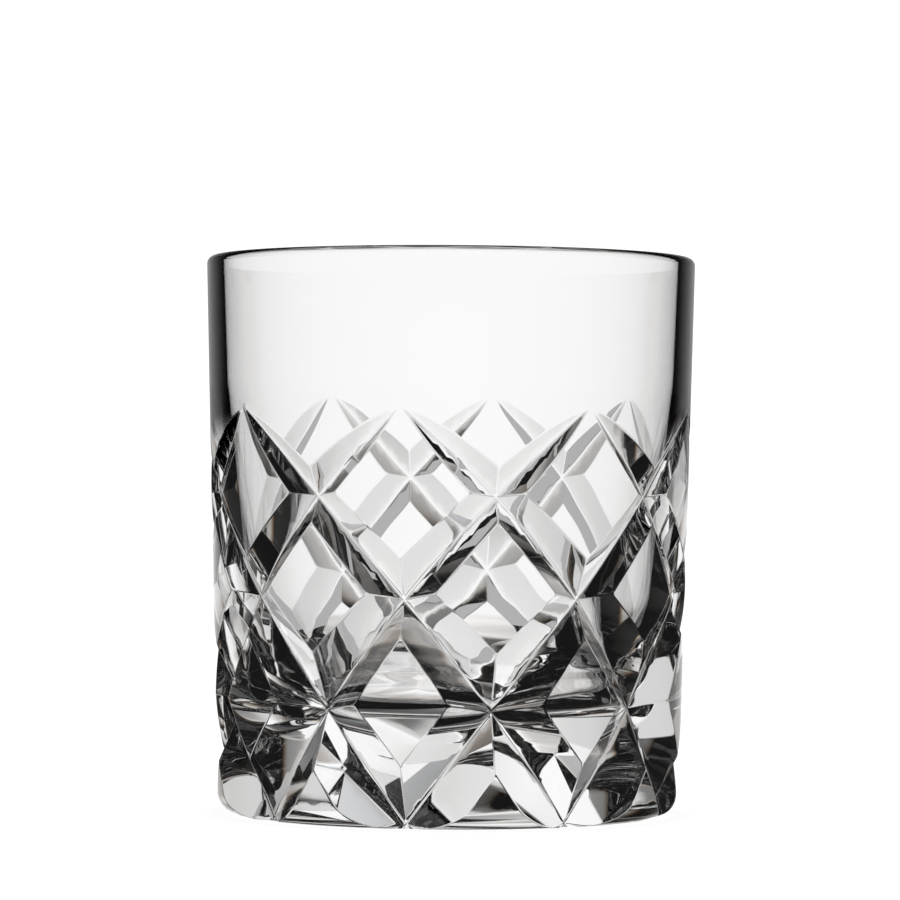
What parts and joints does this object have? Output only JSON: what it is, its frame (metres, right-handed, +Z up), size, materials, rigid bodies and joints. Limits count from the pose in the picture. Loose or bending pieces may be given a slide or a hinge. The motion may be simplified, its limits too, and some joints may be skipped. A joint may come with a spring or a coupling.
{
  "type": "whiskey tumbler",
  "caption": "Clear cut-crystal old-fashioned whiskey tumbler: plain lip, diamond-cut side, heavy solid base.",
  "frame": {"origin": "centre of the flat base, on the plane the glass stands on", "axes": "+Z up along the axis the glass was turned about, towards the rim; a column of cuts starts on the +X axis"},
  "size_m": [0.08, 0.08, 0.091],
  "materials": {
    "crystal": "polished"
  },
  "bodies": {
    "root": {"tumbler": "crystal"}
  },
  "joints": []
}
